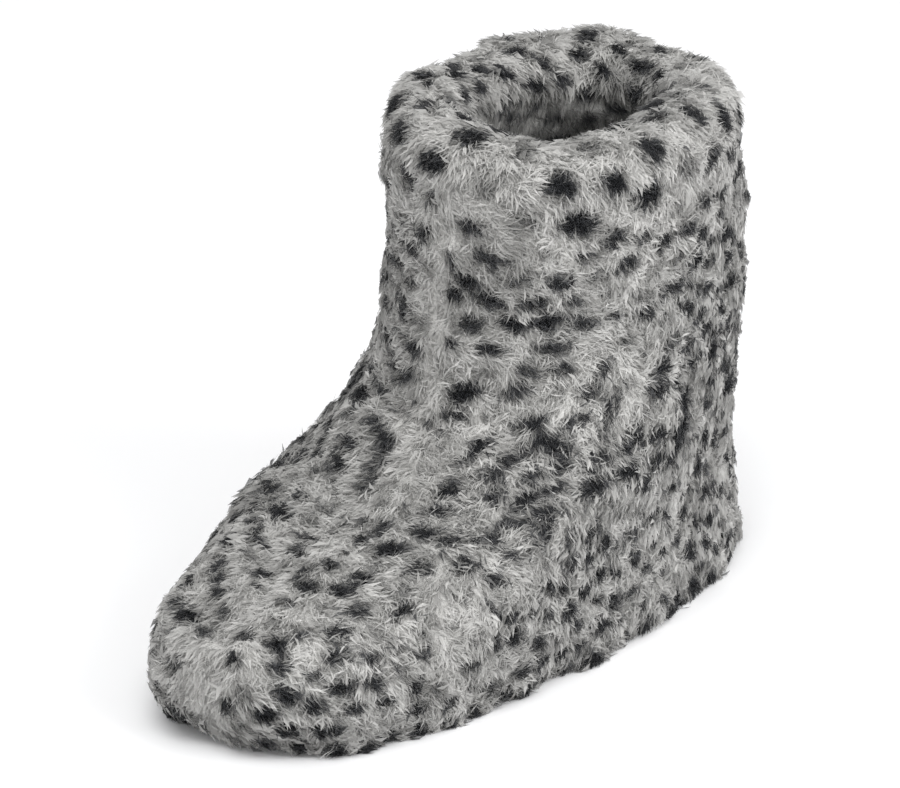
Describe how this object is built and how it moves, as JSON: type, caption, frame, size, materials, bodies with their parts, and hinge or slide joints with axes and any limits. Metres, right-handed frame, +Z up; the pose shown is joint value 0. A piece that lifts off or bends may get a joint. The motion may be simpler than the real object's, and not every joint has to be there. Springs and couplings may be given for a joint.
{
  "type": "wool slipper",
  "caption": "Ankle-high wool bootie slipper with a hollow speckled pile upper, thick rolled collar, soft sole and wool insole.",
  "frame": {"origin": "on the floor, below the middle of the slipper's box", "axes": "+Z up, -Y to the toe and +Y to the heel, +X to the side where the collar dips, which is the outer side on a left foot"},
  "size_m": [0.1268, 0.2874, 0.1884],
  "materials": {
    "speckled_wool": "deep curly wool pile, light grey with charcoal spots",
    "charcoal_suede": "matt suede",
    "insole_wool": "short wool pile"
  },
  "bodies": {
    "root": {"upper": "speckled_wool", "outsole": "charcoal_suede", "insole": "insole_wool"}
  },
  "joints": []
}
